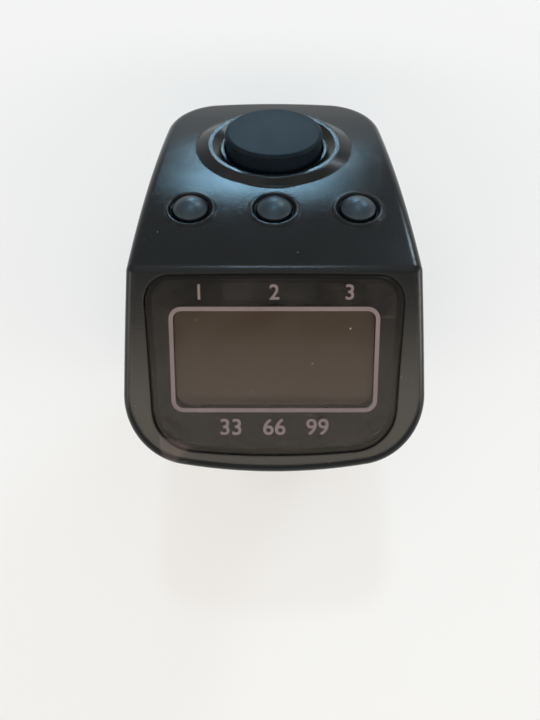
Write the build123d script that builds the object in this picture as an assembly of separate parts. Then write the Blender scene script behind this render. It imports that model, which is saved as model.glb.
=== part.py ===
from build123d import *
import math
import os

# Finger-worn digital counter: a wedge case on a strap, one function for each sub-part.
# Millimetres and degrees. The case frame has x to the right, y to the counting button and
# z up from the case bottom; export lifts everything so that the strap stands on z = 0.

# Case outline and side profile
rear_width = 30.0
middle_width = 27.1
front_width = 22.7
rear_bow = 2.0
front_bow = 1.1
rear_corner = 6.5
front_corner = 6.0
ridge_height = 18.4
ridge_setback = 18.5
face_slope = 23.0
deck_start_slope = 20.0
deck_end_slope = 41.0
nose_margin = 1.7
edge_round = 1.0
base_round = 1.4

# Walls, fits and cuts
wall = 1.4
face_wall = 1.6
floor_wall = 1.4
parting_height = 2.4
lip_height = 1.2
lip_thickness = 0.8
fit_gap = 0.1
seat_gap = 0.05
key_gap = 0.1
overrun = 6.0

# Counting button
cap_lean = 1.5
count_radius = 5.15
count_height = 1.75
count_edge_round = 0.35
count_flange_rim = 0.9
count_seat_depth = 2.1
count_seat_rim = 0.9
count_post_radius = 1.2
count_post_height = 0.25
count_hollow_wall = 0.9
count_roof = 1.3
count_travel = 0.8
count_hole_gap = 0.2
count_collar_spread = 1.9
count_collar_squeeze = 0.45
count_collar_lean = 2.0
count_collar_crest = 0.48
count_collar_top = 0.5
count_crest_round = 0.15
count_collar_embed = 0.8
count_flank_side = 3.4
count_flank_end = 0.9
count_bowl_depth = 0.2

# Small buttons
small_reach = 6.85
collar_row_gap = 2.05
small_pitch = 8.2
small_radius = 1.7
small_height = 1.05
small_shoulder = 0.2
small_flange_rim = 0.65
small_seat_depth = 1.7
small_seat_rim = 0.4
small_post_radius = 0.9
small_travel = 0.5
small_hole_gap = 0.15
small_collar_spread = 0.7
small_collar_foot = 0.6
small_collar_crest = 0.2
small_collar_top = 0.2
small_collar_embed = 0.5
small_bowl_depth = 0.15
flange_thickness = 0.7

# Switches on the key board
stop_margin = 0.2
count_switch_width = 6.2
count_switch_height = 1.8
count_plunger_radius = 1.7
small_switch_width = 4.4
small_switch_height = 1.7
small_plunger_radius = 1.1
plunger_guide = 0.45
switch_floor = 0.3
dome_thickness = 0.15

# Boards
board_thickness = 0.8
key_head_margin = 0.5
key_board_stem_width = 9.6
key_board_margin = 0.6
key_post_rise = 1.2
support_post_x = 3.4
support_post_back = 1.15
support_post_radius = 1.0
display_board_width = 21.6
display_board_up = 8.6
display_board_down = 10.0
display_board_corner = 1.5
board_boss_radius = 1.2
display_boss_top_side = 1.8
display_boss_top_inset = 1.1
display_boss_low_side = 2.8
display_boss_low_inset = 1.2
board_screw_radius = 0.5
board_screw_length = 2.2
board_screw_head_radius = 0.95
board_screw_head = 0.5

# Window and display stack, measured on the rear slope from the middle of the display
display_reach = 8.7
lens_thickness = 1.2
lens_proud = 0.2
lens_bevel = 0.16
lens_top_width = 24.3
lens_bottom_width = 23.4
lens_up = 8.1
lens_down = 9.65
lens_top_arch = 0.15
lens_bottom_bow = 0.9
lens_top_corner = 2.4
lens_bottom_corner = 4.3
adhesive_thickness = 0.15
adhesive_margin = 0.5
window_width = 19.4
window_height = 9.9
window_corner = 1.4
film_thickness = 0.12
film_margin = 0.7
tab_width = 3.7
tab_offset = -9.3
tab_reach = 0.8
tab_overlap = 4.0
polariser_thickness = 0.2
glass_thickness = 0.7
glass_width = 21.0
glass_up = 6.0
front_glass_down = 7.4
rear_glass_down = 5.7
guide_thickness = 1.25
guide_margin = 1.3
guide_up = 5.6
led_width = 1.0
led_length = 3.0
led_height = 0.9
zebra_width = 1.3
zebra_margin = 1.0

# Parts under the display board and the flat cable
blob_radius = 3.0
blob_height = 1.2
blob_x = -3.0
crystal_radius = 0.75
crystal_length = 5.0
crystal_x = 5.0
chip_length = 1.6
chip_width = 0.8
chip_height = 0.6
chip_pitch = 2.6
chip_count = 4
chip_row_down = 5.2
link_thickness = 0.2
link_width = 5.6
link_x = -3.4
link_hold = 2.4
link_bend = 0.8

# Coin cell, door and contacts
door_offset = 0.6
cell_radius = 8.0
cell_thickness = 2.0
cell_edge = 0.25
door_radius = 9.2
door_flange = 0.65
door_plug_radius = 8.2
door_tab_radius = 8.9
door_tab_thickness = 0.5
door_tab_angle = 24.0
door_turn = 40.0
door_slot_length = 9.0
door_slot_width = 1.6
door_slot_depth = 0.5
notch_spare_angle = 4.0
cell_wall_radius = 9.9
cell_wall_height = 4.5
contact_thickness = 0.25
contact_width = 3.0
leaf_length = 6.0
leaf_root = 2.0
carrier_plate = 0.7
carrier_skirt = 0.55
carrier_skirt_drop = 1.0
carrier_opening = 3.2
tail_height = 1.2
lead_radius = 0.3
lead_bend = 1.1
lead_step = 2.4
lead_x = 1.3

# Case screws
rear_boss_x = 11.2
rear_boss_inset = 5.8
front_boss_x = 8.6
front_boss_inset = 6.1
boss_radius = 1.9
rear_boss_top = 5.6
boss_rib = 1.2
pillar_radius = 2.2
case_screw_radius = 0.85
case_screw_length = 3.6
case_screw_head_radius = 1.5
case_screw_head = 0.8
screw_recess = 1.0
cross_slot = 0.35

# Finger strap
strap_width = 13.0
strap_thickness = 1.5
strap_drop = 17.0
strap_bend = 5.0
strap_layer_gap = 0.1
strap_pin_x = 11.0
strap_pin_drop = 2.1
strap_pin_radius = 0.75
strap_eye_radius = 1.85
ear_thickness = 1.6
ear_gap = 0.2
ear_radius = 1.9
ear_root = 0.9
peg_radius = 1.1
peg_head_radius = 1.5
peg_head = 0.7
hole_pitch = 2.7
hole_count = 4
hole_gap = 0.1

# Radii that follow the caps
count_flange_radius = count_radius + count_flange_rim
count_seat_radius = count_flange_radius + count_seat_rim
count_hollow_radius = count_radius - count_hollow_wall
count_collar_radius = count_radius + count_collar_spread
small_flange_radius = small_radius + small_flange_rim
small_seat_radius = small_flange_radius + small_seat_rim
small_collar_radius = small_radius + small_collar_spread
small_foot_radius = small_collar_radius + small_collar_foot

# Case length: the rear slope and the deck, which is as long as its two rows of collars need
count_reach = small_reach + collar_row_gap + count_collar_radius
case_length = ridge_setback + count_reach + count_collar_radius + nose_margin

# Other values worked out from the sizes above
rear_y = -case_length / 2
front_y = case_length / 2
ridge_y = rear_y + ridge_setback
back_centre_y = ridge_y + door_offset
start_sine = math.sin(math.radians(deck_start_slope))
end_sine = math.sin(math.radians(deck_end_slope))
deck_radius = (case_length - ridge_setback) / (end_sine - start_sine)
deck_centre_y = ridge_y - deck_radius * start_sine
deck_centre_z = ridge_height - deck_radius * math.cos(math.radians(deck_start_slope))
block_span = 2 * case_length
hanging = (Align.CENTER, Align.CENTER, Align.MAX)
standing = (Align.CENTER, Align.CENTER, Align.MIN)
sides = (-1, 1)


def deck_height(y):
    """Height of the deck arc above the case bottom at y."""
    return deck_centre_z + math.sqrt(deck_radius**2 - (y - deck_centre_y) ** 2)


def deck_slope(y):
    """Downward slope of the deck arc at y, in degrees."""
    return math.degrees(math.asin((y - deck_centre_y) / deck_radius))


def tilted_frame(origin, tilt):
    """Plane at origin whose normal leans from +z towards +y by tilt degrees."""
    lean = math.radians(tilt)
    return Plane(origin=origin, x_dir=(1, 0, 0), z_dir=(0, math.sin(lean), math.cos(lean)))


# Frames: the rear slope, the button axes and the key board
face_lean = math.radians(face_slope)
face_frame = tilted_frame(
    (
        0,
        ridge_y - display_reach * math.cos(face_lean),
        ridge_height - display_reach * math.sin(face_lean),
    ),
    -face_slope,
)
count_y = ridge_y + count_reach
small_y = ridge_y + small_reach
count_tilt = deck_slope(count_y) + cap_lean
small_tilt = deck_slope(small_y) + cap_lean
board_tilt = (count_tilt + small_tilt) / 2
count_frame = tilted_frame((0, count_y, deck_height(count_y)), count_tilt)
collar_frame = tilted_frame(count_frame.origin, count_tilt - count_collar_lean)
small_frame = tilted_frame((0, small_y, deck_height(small_y)), small_tilt)
small_places = (-small_pitch, 0, small_pitch)

# Key stack: the counting cap sets the board's depth and the small caps' posts reach down to it
board_normal = tilted_frame((0, 0, 0), board_tilt).z_dir
count_flange_top = count_seat_depth + seat_gap
count_post_end = count_flange_top + flange_thickness + count_post_height
count_contact = count_frame.origin - count_frame.z_dir * count_post_end - board_normal * key_gap
count_drop = count_travel + stop_margin
small_drop = small_travel + stop_margin
board_frame = tilted_frame(count_contact - board_normal * (count_drop + count_switch_height), board_tilt)
small_rise = (small_frame.origin - board_frame.origin).dot(board_normal)
small_stack = small_drop + small_switch_height + key_gap
small_post_end = (small_rise - small_stack) / math.cos(math.radians(small_tilt - board_tilt))
small_flange_top = small_seat_depth + seat_gap
small_contact = small_frame.origin - small_frame.z_dir * small_post_end - board_normal * key_gap
small_row = (small_contact - board_frame.origin).dot(board_frame.y_dir)

# Display stack depths below the rear slope
lens_bottom = lens_proud - lens_thickness
ledge_top = lens_bottom - adhesive_thickness
glass_top = -face_wall - seat_gap
rear_glass_top = glass_top - glass_thickness
guide_top = rear_glass_top - glass_thickness - seat_gap
display_board_top = guide_top - guide_thickness - seat_gap
display_board_bottom = display_board_top - board_thickness
guide_width = glass_width - 2 * guide_margin

# Screw places
case_screw_places = [(side * rear_boss_x, rear_y + rear_boss_inset) for side in sides]
case_screw_places += [(side * front_boss_x, front_y - front_boss_inset) for side in sides]
display_boss_top_x = display_board_width / 2 - display_boss_top_side
display_boss_low_x = display_board_width / 2 - display_boss_low_side
display_boss_top = display_board_up - display_boss_top_inset
display_boss_low = display_boss_low_inset - display_board_down
display_boss_places = [(side * display_boss_top_x, display_boss_top) for side in sides]
display_boss_places += [(side * display_boss_low_x, display_boss_low) for side in sides]
key_boss_places = [(side * small_pitch / 2, small_row + key_post_rise) for side in sides]

# Cell stack heights above the case bottom
tab_base = floor_wall + seat_gap
door_top = tab_base + door_tab_thickness
cell_base = door_top + seat_gap
cell_top = cell_base + cell_thickness


def outline(inset):
    """Case outline seen from above: four bowed sides with rounded corners, drawn in by inset."""
    rear_end = rear_y + inset
    front_end = front_y - inset
    rear = (rear_width / 2 - inset, rear_end + rear_bow)
    front = (front_width / 2 - inset, front_end - front_bow)
    middle = (middle_width / 2 - inset, (rear[1] + front[1]) / 2)
    edges = [
        ThreePointArc((-rear[0], rear[1]), (0, rear_end), rear),
        ThreePointArc(rear, middle, front),
        ThreePointArc(front, (0, front_end), (-front[0], front[1])),
        ThreePointArc((-front[0], front[1]), (-middle[0], middle[1]), (-rear[0], rear[1])),
    ]
    face = make_face(edges)
    face = fillet(face.vertices().group_by(Axis.Y)[0], rear_corner - inset)
    return fillet(face.vertices().group_by(Axis.Y)[-1], front_corner - inset)


def below(frame, height):
    """Half space under a plane of the frame, large enough for the case."""
    return frame * Pos(0, 0, height) * Box(block_span, block_span, block_span, align=hanging)


def housing_block(inset, face_inset):
    """Wedge under the rear slope and the deck arc, drawn in from its sides and top."""
    prism = extrude(outline(inset), amount=ridge_height + overrun)
    deck = Cylinder(deck_radius - inset, block_span, rotation=(0, 90, 0))
    under_deck = Pos(0, deck_centre_y, deck_centre_z) * deck
    return prism & under_deck & below(face_frame, -face_inset)


def rounded_block():
    """Outer wedge with its ridge and its upper rim rounded."""
    block = housing_block(0, 0)
    ridge = block.edges().filter_by(Axis.X).sort_by(Axis.Z)[-1]
    top_faces = [face for face in block.faces() if face.normal_at().Z > start_sine]
    borders = [edge for face in top_faces for edge in face.edges()]
    rim = [edge for edge in borders if borders.count(edge) == 1]
    return fillet(rim + [ridge], edge_round)


def turned(points):
    """Solid of revolution round z from a closed profile of radius and height."""
    return revolve(Plane.XZ * make_face(Polyline(*points, close=True)), Axis.Z)


def count_collar():
    """Raised ring round the counting button: a flank that spreads more to the sides than to the
    ends, a narrow crest and a sloped inner side. The ring leans a little less than the cap."""
    end_radius = count_collar_radius - count_collar_squeeze
    foot = Ellipse(count_collar_radius + count_flank_side, end_radius + count_flank_end)
    crest = Ellipse(count_collar_radius, end_radius)
    mound = loft([Pos(0, 0, -count_collar_embed) * foot, Pos(0, 0, count_collar_crest) * crest], ruled=True)
    floor = Circle(count_radius + count_hole_gap - seat_gap)
    mouth = Ellipse(count_collar_radius - count_collar_top, end_radius - count_collar_top)
    bowl = loft([Pos(0, 0, -count_bowl_depth) * floor, Pos(0, 0, count_collar_crest) * mouth], ruled=True)
    ring = mound - bowl
    rounded = fillet(ring.edges().group_by(Axis.Z)[-1], count_crest_round)
    return collar_frame * rounded


def small_collar(x):
    """Low ring round a small button, with a narrow crest and a bowl-shaped inner side."""
    hole = small_radius + small_hole_gap
    points = [
        (hole - small_hole_gap, -small_collar_embed),
        (small_foot_radius, -small_collar_embed),
        (small_collar_radius, small_collar_crest),
        (small_collar_radius - small_collar_top, small_collar_crest),
        (hole + small_hole_gap / 2, -small_bowl_depth),
        (hole - small_hole_gap, -small_bowl_depth),
    ]
    ring = turned(points)
    crest = ring.edges().group_by(Axis.Z)[-1]
    rounded = fillet(crest, small_collar_top / 2 - seat_gap / 2)
    return Pos(x, 0, 0) * (small_frame * rounded)


def small_bowl(x):
    """Room for a small collar's bowl in the deck, a little wider than the bowl itself."""
    low_radius = small_radius + small_hole_gap * 3 / 2 + seat_gap
    high_radius = small_collar_radius - small_collar_top + seat_gap
    points = [
        (0, -small_bowl_depth),
        (low_radius, -small_bowl_depth),
        (high_radius, small_collar_crest),
        (0, small_collar_crest),
    ]
    return Pos(x, 0, 0) * (small_frame * turned(points))


def upright(x, y, radius, base, top):
    """Upright cylinder between two heights."""
    return Pos(x, y, base) * Cylinder(radius, top - base, align=standing)


def shell_supports():
    """Seats, bosses and ribs inside the upper case, before they are trimmed to its walls."""
    count_seat = Cylinder(count_seat_radius, overrun, align=standing)
    parts = [count_frame * Pos(0, 0, -count_seat_depth) * count_seat]
    for x in small_places:
        seat = Cylinder(small_seat_radius, overrun, align=standing)
        parts.append(Pos(x, 0, 0) * (small_frame * Pos(0, 0, -small_seat_depth) * seat))
    for x, y in case_screw_places[:2]:
        parts.append(upright(x, y, boss_radius, parting_height, rear_boss_top))
        rib = Box(boss_radius + wall, boss_rib, rear_boss_top - parting_height, align=standing)
        parts.append(Pos(x + math.copysign(boss_radius, x), y, parting_height) * rib)
    for x, y in case_screw_places[2:]:
        parts.append(upright(x, y, boss_radius, parting_height, ridge_height))
    for x, y in display_boss_places:
        boss = Cylinder(board_boss_radius, -display_board_top - seat_gap, align=hanging)
        parts.append(face_frame * Pos(x, y, 0) * boss)
    for x, y in key_boss_places:
        boss = Cylinder(board_boss_radius, ridge_height, align=standing)
        parts.append(board_frame * Pos(x, y, seat_gap) * boss)
    return parts


def lens_outline(inset):
    """Window outline on the rear slope: arched top, bowed bottom, larger lower corners."""
    top_x = lens_top_width / 2 - inset
    low_x = lens_bottom_width / 2 - inset
    top_end = lens_up - inset
    low_end = inset - lens_down
    top_y = top_end - lens_top_arch
    low_y = low_end + lens_bottom_bow
    edges = [
        ThreePointArc((-top_x, top_y), (0, top_end), (top_x, top_y)),
        Line((top_x, top_y), (low_x, low_y)),
        ThreePointArc((low_x, low_y), (0, low_end), (-low_x, low_y)),
        Line((-low_x, low_y), (-top_x, top_y)),
    ]
    face = make_face(edges)
    face = fillet(face.vertices().group_by(Axis.Y)[-1], lens_top_corner - inset)
    return fillet(face.vertices().group_by(Axis.Y)[0], lens_bottom_corner - inset)


def on_face(sketch, base, top):
    """Plate between two depths on the rear slope."""
    return face_frame * Pos(0, 0, base) * extrude(sketch, amount=top - base)


def window_outline(grow):
    """Display opening, grown by the given amount."""
    return RectangleRounded(window_width + 2 * grow, window_height + 2 * grow, window_corner + grow)


def pilot(frame, x, y, base, depth):
    """Blind hole for a board screw."""
    return frame * Pos(x, y, base) * Cylinder(board_screw_radius + seat_gap, depth, align=standing)


def top_shell():
    """Upper case: wedge shell with collars, seats, bosses, window recess and button holes."""
    outer = rounded_block() - Box(block_span, block_span, 2 * parting_height)
    for x in small_places:
        outer = outer - small_bowl(x) + small_collar(x)
    outer += count_collar()
    shell = outer - housing_block(wall, face_wall)
    limit = housing_block(wall / 2, face_wall / 2)
    for support in shell_supports():
        shell += support & limit
    shell -= count_frame * Cylinder(count_radius + count_hole_gap, 2 * overrun)
    for x in small_places:
        shell -= Pos(x, 0, 0) * (small_frame * Cylinder(small_radius + small_hole_gap, 2 * overrun))
    shell -= on_face(lens_outline(-fit_gap), ledge_top, overrun)
    shell -= on_face(window_outline(0), -face_wall - overrun / 2, overrun)
    for x, y in case_screw_places:
        hole_top = parting_height + case_screw_length - seat_gap
        shell -= upright(x, y, case_screw_radius + seat_gap, 0, min(hole_top, rear_boss_top - seat_gap))
    for x, y in display_boss_places:
        shell -= pilot(face_frame, x, y, display_board_top - seat_gap, board_screw_length)
    for x, y in key_boss_places:
        shell -= pilot(board_frame, x, y, 0, board_screw_length)
    return shell


def strap_ear(side_x, y):
    """Ear under the lower case with its pin hole."""
    round_end = Pos(side_x, -strap_pin_drop) * Circle(ear_radius)
    root = Rectangle(2 * ear_radius, ear_root + strap_pin_drop)
    root = Pos(side_x, (ear_root - strap_pin_drop) / 2) * root
    hole = Pos(side_x, -strap_pin_drop) * Circle(strap_pin_radius + seat_gap)
    profile = Plane.XZ * (round_end + root - hole)
    return Pos(0, y, 0) * extrude(profile, amount=ear_thickness / 2, both=True)


def ear_places():
    """Ear positions along the strap's width, one each side of the strap."""
    offset_y = strap_width / 2 + ear_gap + ear_thickness / 2
    return [back_centre_y + side * offset_y for side in sides]


def sector(radius, base, top, start, sweep):
    """Pie-shaped block round the door's axis."""
    rim = CenterArc((0, 0), radius, start, sweep)
    face = make_face([Line((0, 0), rim @ 0), rim, Line(rim @ 1, (0, 0))])
    return Pos(0, back_centre_y, base) * extrude(face, amount=top - base)


def back_shell():
    """Lower case: floor, lip, cell seat, screw pillars, board posts and strap ears."""
    tray = extrude(outline(0), amount=parting_height - seat_gap)
    tray = fillet(tray.faces().sort_by(Axis.Z)[0].edges(), base_round)
    inner = wall + fit_gap + lip_thickness
    lip = extrude(outline(wall + fit_gap), amount=parting_height + lip_height)
    tray += lip & housing_block(wall + fit_gap, face_wall + fit_gap)
    tray -= Pos(0, 0, floor_wall) * extrude(outline(inner), amount=overrun)
    for x, y in case_screw_places:
        tray -= upright(x, y, pillar_radius + fit_gap, parting_height - seat_gap, parting_height + overrun)
        rib_room = Box(2 * pillar_radius + wall, boss_rib + 2 * fit_gap, overrun, align=standing)
        tray -= Pos(x + math.copysign(pillar_radius, x), y, parting_height - seat_gap) * rib_room
        pillar = upright(x, y, pillar_radius, 0, parting_height - seat_gap)
        tray += pillar & extrude(outline(wall / 2), amount=parting_height)
        tray -= upright(x, y, case_screw_head_radius + fit_gap, -overrun, screw_recess)
        tray -= upright(x, y, case_screw_radius + fit_gap, -overrun, parting_height)
    tray += upright(0, back_centre_y, cell_wall_radius, floor_wall / 2, cell_wall_height)
    tray -= upright(0, back_centre_y, cell_radius + 2 * fit_gap, floor_wall, overrun + cell_wall_height)
    tray -= upright(0, back_centre_y, door_tab_radius + fit_gap, floor_wall, door_top + fit_gap)
    tray -= upright(0, back_centre_y, door_plug_radius + fit_gap, -overrun, cell_wall_height)
    tray -= upright(0, back_centre_y, door_radius + fit_gap, -overrun, door_flange + seat_gap)
    for side in (0, 180):
        start = side - door_turn - door_tab_angle / 2 - notch_spare_angle
        sweep = door_tab_angle + 2 * notch_spare_angle
        tray -= sector(door_tab_radius + fit_gap, 0, door_top, start, sweep)
    tray -= positive_pocket()
    for side in sides:
        post_x = side * support_post_x
        post_y = count_y - support_post_back
        post = upright(post_x, post_y, support_post_radius, floor_wall / 2, ridge_height)
        tray += post & below(board_frame, -board_thickness - seat_gap)
    for y in ear_places():
        for side in sides:
            tray += strap_ear(side * strap_pin_x, y)
    return tray


def positive_pocket():
    """Slot in the cell wall for the side contact."""
    depth = cell_radius + 2 * contact_thickness + fit_gap
    corner = (Align.CENTER, Align.MIN, Align.MIN)
    room = Box(contact_width + 2 * fit_gap, 2 * contact_thickness + 2 * fit_gap, overrun, align=corner)
    return Pos(0, back_centre_y - depth - fit_gap, door_top + fit_gap) * room


def battery_door():
    """Bayonet door: flange, plug, two locking tabs and a coin slot."""
    door = upright(0, back_centre_y, door_radius, 0, door_flange)
    door += upright(0, back_centre_y, door_plug_radius, 0, door_top)
    for side in (0, 180):
        door += sector(door_tab_radius, tab_base, door_top, side - door_tab_angle / 2, door_tab_angle)
    slot = Box(door_slot_length, door_slot_width, 2 * door_slot_depth)
    return door - Pos(0, back_centre_y, 0) * slot


def count_button():
    """Counting cap: flat top with a soft edge, flange, hollow underside and post."""
    length = count_flange_top + count_height
    cap = Pos(0, 0, -count_flange_top) * Cylinder(count_radius, length, align=standing)
    cap = fillet(cap.edges().sort_by(Axis.Z)[-1], count_edge_round)
    flange_base = -count_flange_top - flange_thickness
    cap += Pos(0, 0, flange_base) * Cylinder(count_flange_radius, flange_thickness, align=standing)
    hollow = Cylinder(count_hollow_radius, overrun, align=hanging)
    cap -= Pos(0, 0, count_height - count_roof) * hollow
    post = Cylinder(count_post_radius, count_post_end + count_height - count_roof / 2, align=standing)
    return count_frame * (cap + Pos(0, 0, -count_post_end) * post)


def cap_of_ball(radius, height):
    """Slice of a ball, standing on z = 0, with the given rim radius and height."""
    ball = (radius**2 + height**2) / (2 * height)
    return Pos(0, 0, height - ball) * Sphere(ball) & Box(block_span, block_span, height, align=standing)


def small_button(x):
    """Small domed cap with its flange and post."""
    stem = Cylinder(small_radius, small_flange_top + small_shoulder, align=standing)
    cap = Pos(0, 0, -small_flange_top) * stem
    cap += Pos(0, 0, small_shoulder) * cap_of_ball(small_radius, small_height - small_shoulder)
    cap += Pos(0, 0, -small_flange_top) * Cylinder(small_flange_radius, flange_thickness, align=hanging)
    post = Cylinder(small_post_radius, small_post_end - small_flange_top, align=standing)
    return Pos(x, 0, 0) * (small_frame * (cap + Pos(0, 0, -small_post_end) * post))


def contact_frame(place):
    """Board-parallel frame at the top of a switch's plunger."""
    return tilted_frame(place, board_tilt)


# Each switch size: body width, body height, plunger drop and plunger radius
count_size = (count_switch_width, count_switch_height, count_drop, count_plunger_radius)
small_size = (small_switch_width, small_switch_height, small_drop, small_plunger_radius)


def switch_body(place, size):
    """Switch housing standing on the key board, with the plunger's bore."""
    width, height, drop, plunger_radius = size
    body = Box(width, width, height, align=hanging)
    bore = Cylinder(plunger_radius + fit_gap, height - switch_floor, align=hanging)
    return contact_frame(place) * Pos(0, 0, -drop) * (body - bore)


def switch_plunger(place, size):
    """Stem that moves with its button."""
    drop, plunger_radius = size[2:]
    return contact_frame(place) * Cylinder(plunger_radius, drop + plunger_guide, align=hanging)


def switch_dome(place, size):
    """Contact disc on the floor of a switch."""
    height, drop, plunger_radius = size[1:]
    disc = Cylinder(plunger_radius, dome_thickness, align=standing)
    return contact_frame(place) * Pos(0, 0, switch_floor - drop - height) * disc


def small_place(x):
    """Top of a small switch's plunger."""
    return small_contact + Vector(x, 0, 0)


def count_switch():
    """Switch under the counting button."""
    return switch_body(count_contact, count_size)


def small_switches():
    """Three switches under the small buttons."""
    return [switch_body(small_place(x), small_size) for x in small_places]


def switch_domes():
    """Four contact discs."""
    discs = [switch_dome(small_place(x), small_size) for x in small_places]
    return [switch_dome(count_contact, count_size)] + discs


def count_plunger():
    """Stem of the counting switch."""
    return switch_plunger(count_contact, count_size)


def small_plunger(x):
    """Stem of a small switch."""
    return switch_plunger(small_place(x), small_size)


def key_board():
    """Board under the deck: a wide head for the small switches and a stem for the counting switch."""
    head_depth = small_switch_width + 2 * key_board_margin
    stem_end = count_switch_width / 2 + key_board_margin
    head_width = 2 * small_pitch + small_switch_width + 2 * key_head_margin
    head = Pos(0, small_row) * Rectangle(head_width, head_depth)
    stem = Pos(0, (small_row + stem_end) / 2) * Rectangle(key_board_stem_width, stem_end - small_row)
    face = head + stem
    for x, y in key_boss_places:
        face -= Pos(x, y) * Circle(board_screw_radius + seat_gap)
    return board_frame * extrude(face, amount=-board_thickness)


def display_board():
    """Board under the display stack with its four screw holes."""
    length = display_board_up + display_board_down
    middle = (display_board_up - display_board_down) / 2
    face = Pos(0, middle) * RectangleRounded(display_board_width, length, display_board_corner)
    for x, y in display_boss_places:
        face -= Pos(x, y) * Circle(board_screw_radius + seat_gap)
    return on_face(face, display_board_bottom, display_board_top)


def board_screw(frame, x, y, underside):
    """Screw driven up through a board into its boss."""
    head = Cylinder(board_screw_head_radius, board_screw_head, align=hanging)
    length = board_thickness + board_screw_length - 2 * fit_gap
    shank = Cylinder(board_screw_radius, length, align=standing)
    return frame * Pos(x, y, underside - seat_gap) * (head + shank)


def board_screws():
    """Screws of both boards."""
    screws = [board_screw(face_frame, x, y, display_board_bottom) for x, y in display_boss_places]
    screws += [board_screw(board_frame, x, y, -board_thickness) for x, y in key_boss_places]
    return screws


def lens_panel():
    """Dark window, slightly proud of the case, with a bevelled edge."""
    panel = extrude(lens_outline(0), amount=lens_thickness)
    top = panel.faces().sort_by(Axis.Z)[-1]
    panel = chamfer(top.edges(), lens_bevel)
    return face_frame * Pos(0, 0, lens_bottom) * panel


def lens_adhesive():
    """Tape ring between the window and its ledge."""
    ring = lens_outline(adhesive_margin) - window_outline(adhesive_margin / 2)
    return on_face(ring, ledge_top, lens_bottom)


def lens_film():
    """Clear film on the window with a round-ended pull tab over its lower left corner."""
    base = lens_proud + seat_gap
    sheet = lens_outline(film_margin)
    length = tab_reach + tab_overlap
    middle = length / 2 - lens_down - tab_reach
    tab = Pos(tab_offset, middle) * SlotOverall(length, tab_width, rotation=90)
    return on_face(sheet + tab, base, base + film_thickness)


def face_plate(width, up, down, base, top):
    """Rectangular plate on the rear slope."""
    return on_face(Pos(0, (up - down) / 2) * Rectangle(width, up + down), base, top)


def lcd_polariser():
    """Film on the display glass, inside the window opening."""
    base = glass_top + seat_gap
    return on_face(window_outline(-fit_gap), base, base + polariser_thickness)


def lcd_front_glass():
    """Front display glass with its contact ledge at the lower side."""
    return face_plate(glass_width, glass_up, front_glass_down, rear_glass_top, glass_top)


def lcd_rear_glass():
    """Rear display glass."""
    base = rear_glass_top - glass_thickness
    return face_plate(glass_width, glass_up, rear_glass_down, base, rear_glass_top)


def light_guide():
    """Light-spreading plate behind the glass."""
    shift = led_width / 2 + fit_gap
    base = guide_top - guide_thickness
    plate = face_plate(guide_width, guide_up, rear_glass_down - fit_gap, base, guide_top)
    return Pos(-shift, 0, 0) * plate


def backlight_led():
    """Lamp on the display board beside the light guide."""
    edge = guide_width / 2 - led_width / 2
    lamp = Box(led_width, led_length, led_height, align=(Align.MIN, Align.CENTER, Align.MIN))
    return face_frame * Pos(edge, 0, display_board_top) * lamp


def zebra_strip():
    """Conductive rubber strip between the glass ledge and the board."""
    middle = -(front_glass_down + rear_glass_down) / 2
    strip = Pos(0, middle) * Rectangle(glass_width - 2 * zebra_margin, zebra_width)
    return on_face(strip, display_board_top + seat_gap, rear_glass_top - seat_gap)


def controller_blob():
    """Epoxy drop over the controller, under the display board."""
    drop = Rot(180, 0, 0) * cap_of_ball(blob_radius, blob_height)
    return face_frame * Pos(blob_x, 0, display_board_bottom - seat_gap) * drop


def clock_crystal():
    """Can of the clock crystal, lying under the display board."""
    can = Cylinder(crystal_radius, crystal_length, rotation=(90, 0, 0))
    return face_frame * Pos(crystal_x, 0, display_board_bottom - crystal_radius - seat_gap) * can


def chip_parts():
    """Row of chip resistors and capacitors under the display board."""
    start = -chip_pitch * (chip_count - 1) / 2
    chip = Box(chip_width, chip_length, chip_height, align=hanging)
    row = face_frame * Pos(0, -chip_row_down, display_board_bottom - seat_gap)
    return [row * Pos(start + number * chip_pitch, 0, 0) * chip for number in range(chip_count)]


def board_link():
    """Flat cable under both boards, bent where their planes meet."""
    depth = seat_gap + link_thickness / 2
    key_point = board_frame.origin - board_frame.z_dir * (board_thickness + depth)
    face_point = face_frame.origin + face_frame.z_dir * (display_board_bottom - depth)
    key_line = board_frame.y_dir
    face_line = face_frame.y_dir
    gap = face_point - key_point
    cross = key_line.Y * face_line.Z - key_line.Z * face_line.Y
    reach = (gap.Y * face_line.Z - gap.Z * face_line.Y) / cross
    corner = key_point + key_line * reach
    board_end = small_row - small_switch_width / 2 - key_board_margin
    start = key_point + key_line * (board_end + link_hold)
    end = corner - face_line * link_hold
    path = FilletPolyline((start.Y, start.Z), (corner.Y, corner.Z), (end.Y, end.Z), radius=link_bend)
    band = extrude(Plane.YZ * trace(path, link_thickness), amount=link_width / 2, both=True)
    return Pos(link_x, 0, 0) * band


def coin_cell():
    """Lithium coin cell with a rounded lower edge."""
    cell = upright(0, back_centre_y, cell_radius, cell_base, cell_top)
    return fillet(cell.edges().sort_by(Axis.Z)[0], cell_edge)


def contact_carrier():
    """Cap over the cell wall that carries the contacts."""
    base = cell_wall_height + seat_gap
    inner = cell_wall_radius + seat_gap
    outer = inner + carrier_skirt
    cap = upright(0, back_centre_y, outer, base - carrier_skirt_drop, base + carrier_plate)
    cap -= upright(0, back_centre_y, inner, 0, base)
    cap -= upright(0, back_centre_y, carrier_opening, 0, base + overrun)
    tail_room = Box(contact_width + 2 * fit_gap, 2 * contact_thickness + 2 * fit_gap, overrun)
    return cap - Pos(0, back_centre_y - cell_radius - contact_thickness - fit_gap, base) * tail_room


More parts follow.
